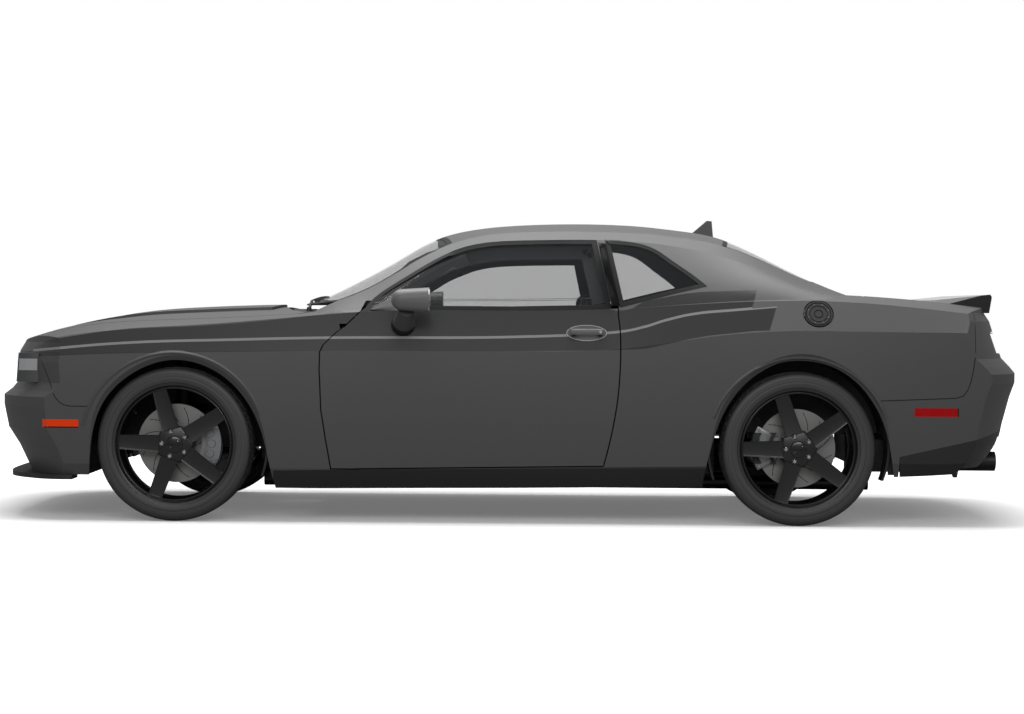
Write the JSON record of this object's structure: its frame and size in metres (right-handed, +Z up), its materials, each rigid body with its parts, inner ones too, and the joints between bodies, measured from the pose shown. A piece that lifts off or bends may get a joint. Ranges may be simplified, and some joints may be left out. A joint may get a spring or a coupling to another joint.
{
  "type": "two-door muscle car",
  "caption": "Two-door hardtop-style performance car with opening doors, hood and decklid, steerable front wheels and free-rolling wheels.",
  "frame": {"origin": "on the ground, under the middle of the car's overall length and width", "axes": "+X towards the rear, +Y to the car's right side, +Z up"},
  "size_m": [4.9809, 2.2488, 1.4739],
  "materials": {
    "black_trim": "matte",
    "body_paint": "satin",
    "cast_iron": "cast",
    "dash_plastic": "matte",
    "glass": "clear",
    "gloss_black": "gloss",
    "lamp_glass": "gloss",
    "orange_lens": "gloss",
    "red_lens": "gloss",
    "rim_black": "satin",
    "seat_leather": "matte",
    "steel": "brushed",
    "tyre": "matte",
    "underbody": "matte"
  },
  "bodies": {
    "body": {"floor_pan": "underbody", "body_side_left": "body_paint", "body_side_right": "body_paint", "roof_panel": "body_paint", "fender_left": "body_paint", "fender_right": "body_paint", "cowl": "black_trim", "tulip_panel": "body_paint", "front_bumper": "body_paint", "front_splitter": "black_trim", "grille": "black_trim", "front_lamps": "lamp_glass", "rear_bumper": "body_paint", "rear_valance": "black_trim", "rear_lamps": "red_lens", "front_markers": "orange_lens", "rear_markers": "red_lens", "fixed_glass": "glass", "sill_covers": "black_trim", "wheel_liners": "black_trim", "dashboard": "dash_plastic", "front_seats": "seat_leather", "rear_seat": "seat_leather", "engine_block": "cast_iron", "driveline": "cast_iron", "exhaust": "steel", "front_subframe": "underbody", "rear_axle": "underbody"},
    "hood": {"hood": "body_paint"},
    "decklid": {"decklid": "body_paint", "spoiler": "gloss_black"},
    "door_left": {"door_left": "body_paint", "door_glass_left": "glass", "mirror_left": "body_paint"},
    "door_right": {"door_right": "body_paint", "door_glass_right": "glass", "mirror_right": "body_paint"},
    "fuel_door": {"fuel_door": "gloss_black"},
    "steering_wheel": {"steering_wheel": "seat_leather"},
    "rack": {"steering_rack": "steel"},
    "knuckle_left": {"knuckle_left": "cast_iron"},
    "knuckle_right": {"knuckle_right": "cast_iron"},
    "wheel_front_left": {"tyre_front_left": "tyre", "rim_front_left": "rim_black"},
    "wheel_front_right": {"tyre_front_right": "tyre", "rim_front_right": "rim_black"},
    "wheel_rear_left": {"tyre_rear_left": "tyre", "rim_rear_left": "rim_black"},
    "wheel_rear_right": {"tyre_rear_right": "tyre", "rim_rear_right": "rim_black"}
  },
  "joints": [
    {"name": "steer_left", "type": "hinge", "parent": "body", "child": "knuckle_left", "pos_m": [-1.575, -0.74, 0.364], "axis": [0, 0, 1], "range_deg": [-33, 33]},
    {"name": "steer_right", "type": "hinge", "parent": "body", "child": "knuckle_right", "pos_m": [-1.575, 0.74, 0.364], "axis": [0, 0, 1], "range_deg": [-33, 33]},
    {"name": "rack_slide", "type": "slide", "parent": "body", "child": "rack", "axis": [0, 1, 0], "range_m": [-0.0749, 0.0749]},
    {"name": "steering_wheel_turn", "type": "hinge", "parent": "body", "child": "steering_wheel", "pos_m": [-0.41085, -0.36999, 0.8845], "axis": [-0.9272, 0, -0.3746], "range_deg": [-462, 462]},
    {"name": "wheel_front_left_spin", "type": "hinge", "parent": "knuckle_left", "child": "wheel_front_left", "pos_m": [-1.575, -0.805, 0.364], "axis": [0, 1, 0], "continuous": true},
    {"name": "wheel_front_right_spin", "type": "hinge", "parent": "knuckle_right", "child": "wheel_front_right", "pos_m": [-1.575, 0.805, 0.364], "axis": [0, 1, 0], "continuous": true},
    {"name": "wheel_rear_left_spin", "type": "hinge", "parent": "body", "child": "wheel_rear_left", "pos_m": [1.371, -0.805, 0.364], "axis": [0, 1, 0], "continuous": true},
    {"name": "wheel_rear_right_spin", "type": "hinge", "parent": "body", "child": "wheel_rear_right", "pos_m": [1.371, 0.805, 0.364], "axis": [0, 1, 0], "continuous": true},
    {"name": "door_left_hinge", "type": "hinge", "parent": "body", "child": "door_left", "pos_m": [-0.78, -0.9, 0.6], "axis": [0, 0, -1], "range_deg": [0, 65]},
    {"name": "door_right_hinge", "type": "hinge", "parent": "body", "child": "door_right", "pos_m": [-0.78, 0.9, 0.6], "axis": [0, 0, 1], "range_deg": [0, 65]},
    {"name": "hood_hinge", "type": "hinge", "parent": "body", "child": "hood", "pos_m": [-0.9, 0, 0.94], "axis": [0, 1, 0], "range_deg": [0, 50]},
    {"name": "decklid_hinge", "type": "hinge", "parent": "body", "child": "decklid", "pos_m": [1.6, 0, 1.018], "axis": [0, -1, 0], "range_deg": [0, 70]},
    {"name": "fuel_door_hinge", "type": "hinge", "parent": "body", "child": "fuel_door", "pos_m": [1.39065, -0.92146, 1.00575], "axis": [0, -0.4493, -0.8934], "range_deg": [0, 90]}
  ],
  "couplings": [
    {"joint": "steer_right", "follows": "steer_left", "ratio": 1},
    {"joint": "rack_slide", "follows": "steer_left", "m_per_rad": 0.13},
    {"joint": "steering_wheel_turn", "follows": "steer_left", "ratio": -14}
  ]
}
